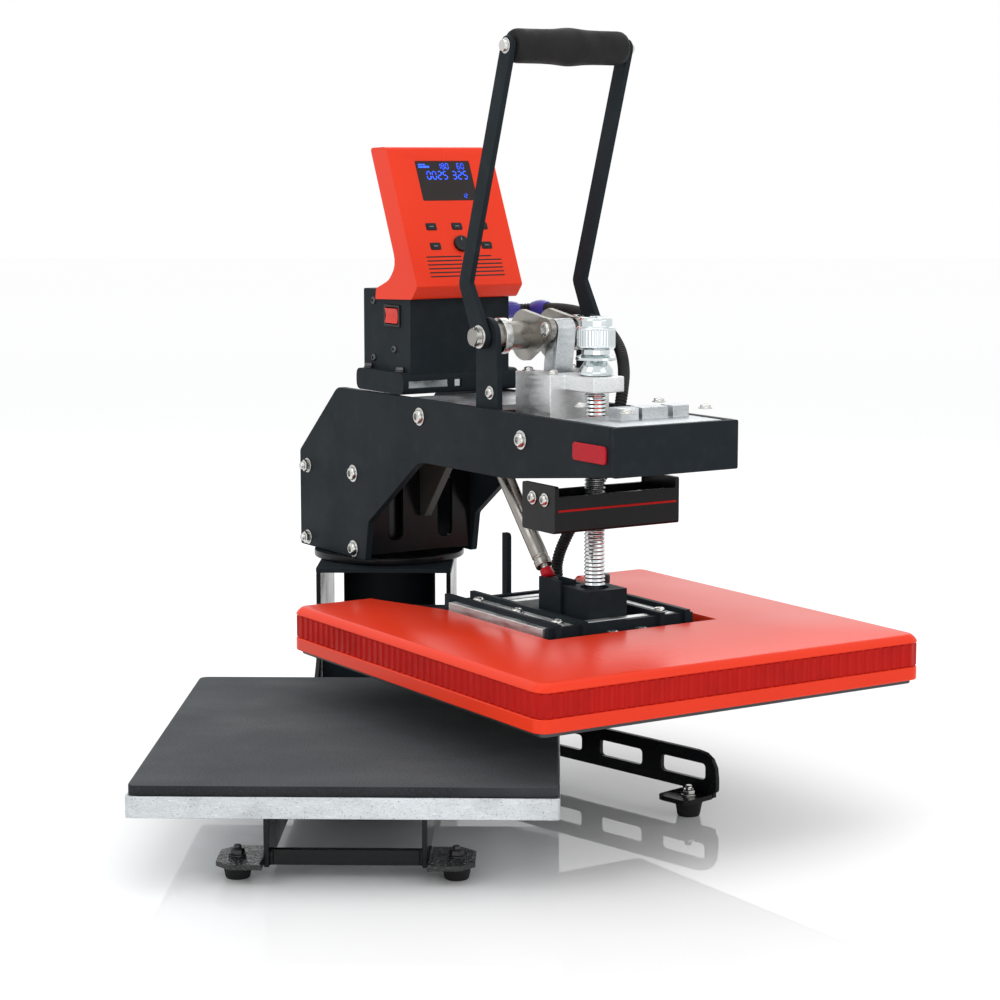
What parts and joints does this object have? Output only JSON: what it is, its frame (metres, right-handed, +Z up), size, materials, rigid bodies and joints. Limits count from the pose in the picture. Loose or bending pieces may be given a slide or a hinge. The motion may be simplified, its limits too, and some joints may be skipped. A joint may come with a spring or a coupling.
{
  "type": "swing-away heat press",
  "caption": "Heat press whose head swings about a rear column, with a toggle lever, a heated upper platen, a padded lower platen and a tilted control panel.",
  "frame": {"origin": "centre of the bounding box, on the floor", "axes": "+Z up, the lower platen's front faces -Y; the head is stored swung out 33.75 degrees to the +X side"},
  "size_m": [0.7586, 0.7882, 0.8015],
  "materials": {
    "black_powder": "satin",
    "red_paint": "gloss",
    "raw_aluminium": "brushed",
    "dark_aluminium": "dark coating",
    "silicone_foam": "matte foam",
    "foot_rubber": "matte",
    "steel": "turned",
    "chrome": "polished",
    "black_plastic": "moulded",
    "display_glass": "gloss",
    "insulation_board": "matte",
    "violet_plastic": "moulded",
    "red_plastic": "gloss",
    "conduit_rubber": "corrugated"
  },
  "bodies": {
    "base": {"side_rail_left": "black_powder", "side_rail_right": "black_powder", "front_cross_bar": "black_powder", "base_plate": "black_powder", "column_front_plate": "black_powder", "column_top_plate": "black_powder", "column_tube": "black_powder", "swing_shaft": "steel", "front_ear_left": "black_powder", "front_ear_right": "black_powder", "front_foot_left": "foot_rubber", "front_foot_right": "foot_rubber", "rear_foot_left": "foot_rubber", "rear_foot_right": "foot_rubber", "outrigger_leg": "black_powder", "outrigger_foot": "foot_rubber", "lower_platen": "raw_aluminium", "platen_pad": "silicone_foam"},
    "head": {"side_plate_left": "black_powder", "side_plate_right": "black_powder", "front_plate": "black_powder", "slotted_plate": "black_powder", "rear_plate": "black_powder", "swing_hub": "steel", "pivot_bracket_left": "black_powder", "pivot_bracket_right": "black_powder", "arm_top_plate": "raw_aluminium", "arm_rear_plate": "raw_aluminium", "guide_channel": "black_powder", "control_box": "black_powder", "rocker_bezel": "black_plastic", "power_inlet": "black_plastic", "panel_housing": "red_paint", "display_window": "display_glass", "heater_conduit": "conduit_rubber", "box_gland": "violet_plastic", "badge_left": "red_plastic"},
    "lever": {"lever_arm_left": "black_powder", "lever_arm_right": "black_powder", "lever_hub": "steel", "lever_grip": "foot_rubber", "lever_grip_bar": "steel"},
    "link": {"toggle_link": "raw_aluminium"},
    "carriage": {"heating_plate": "dark_aluminium", "insulation_board": "insulation_board", "platen_cover": "red_paint", "mounting_frame": "black_powder", "rear_guide_post": "black_powder", "pressure_block": "raw_aluminium", "platen_gland": "steel"},
    "spindle": {"pressure_spindle": "chrome"},
    "strut_body": {"strut_cylinder": "steel"},
    "strut_rod": {"strut_rod": "chrome"},
    "rocker": {"power_rocker": "red_plastic"},
    "dial": {"dial_knob": "black_plastic"},
    "up_key": {"button_up": "black_plastic"},
    "down_key": {"button_down": "black_plastic"},
    "mode_key": {"button_mode": "black_plastic"},
    "timer_key": {"button_timer": "black_plastic"},
    "enter_key": {"button_enter": "black_plastic"}
  },
  "joints": [
    {"name": "head_swing", "type": "hinge", "parent": "base", "child": "head", "pos_m": [-0.17931, 0.28591, 0.21], "axis": [0, 0, 1], "range_deg": [-33.75, 56.25]},
    {"name": "lever_pull", "type": "hinge", "parent": "head", "child": "lever", "pos_m": [-0.00153, 0.01984, 0.486], "axis": [0.8315, 0.5556, 0], "range_deg": [0, 83.45]},
    {"name": "link_swing", "type": "hinge", "parent": "lever", "child": "link", "pos_m": [0.02139, -0.01445, 0.49395], "axis": [0.8315, 0.5556, 0], "range_deg": [-109.2, 0]},
    {"name": "platen_press", "type": "slide", "parent": "head", "child": "carriage", "axis": [0, 0, -1], "range_m": [0, 0.0457], "deforming": ["heater_conduit"]},
    {"name": "strut_swing", "type": "hinge", "parent": "head", "child": "strut_body", "pos_m": [-0.06371, 0.08052, 0.385], "axis": [0.8315, 0.5556, 0], "range_deg": [0, 7.1]},
    {"name": "strut_extend", "type": "slide", "parent": "strut_body", "child": "strut_rod", "axis": [0.3653, -0.5467, -0.7535], "range_m": [0, 0.0363]},
    {"name": "pressure_knob", "type": "hinge", "parent": "carriage", "child": "spindle", "pos_m": [0.05625, -0.06663, 0.49], "axis": [0, 0, 1], "continuous": true},
    {"name": "rocker_tilt", "type": "hinge", "parent": "head", "child": "rocker", "pos_m": [-0.16491, 0.14881, 0.497], "axis": [0.5556, -0.8315, 0], "range_deg": [-7, 7]},
    {"name": "dial_turn", "type": "hinge", "parent": "head", "child": "dial", "pos_m": [-0.08928, 0.15118, 0.57597], "axis": [0.5078, -0.76, 0.4056], "continuous": true},
    {"name": "up_press", "type": "slide", "parent": "head", "child": "up_key", "axis": [-0.5078, 0.76, -0.4056], "range_m": [0, 0.0015], "stiffness_N_per_m": 300},
    {"name": "down_press", "type": "slide", "parent": "head", "child": "down_key", "axis": [-0.5078, 0.76, -0.4056], "range_m": [0, 0.0015], "stiffness_N_per_m": 300},
    {"name": "mode_press", "type": "slide", "parent": "head", "child": "mode_key", "axis": [-0.5078, 0.76, -0.4056], "range_m": [0, 0.0015], "stiffness_N_per_m": 300},
    {"name": "timer_press", "type": "slide", "parent": "head", "child": "timer_key", "axis": [-0.5078, 0.76, -0.4056], "range_m": [0, 0.0015], "stiffness_N_per_m": 300},
    {"name": "enter_press", "type": "slide", "parent": "head", "child": "enter_key", "axis": [-0.5078, 0.76, -0.4056], "range_m": [0, 0.0015], "stiffness_N_per_m": 300}
  ],
  "couplings": [
    {"joint": "platen_press", "follows": "lever_pull", "m_per_rad": 0.031378},
    {"joint": "link_swing", "follows": "lever_pull", "ratio": -1.3078},
    {"joint": "strut_swing", "follows": "lever_pull", "ratio": 0.08455},
    {"joint": "strut_extend", "follows": "lever_pull", "m_per_rad": 0.024917}
  ]
}
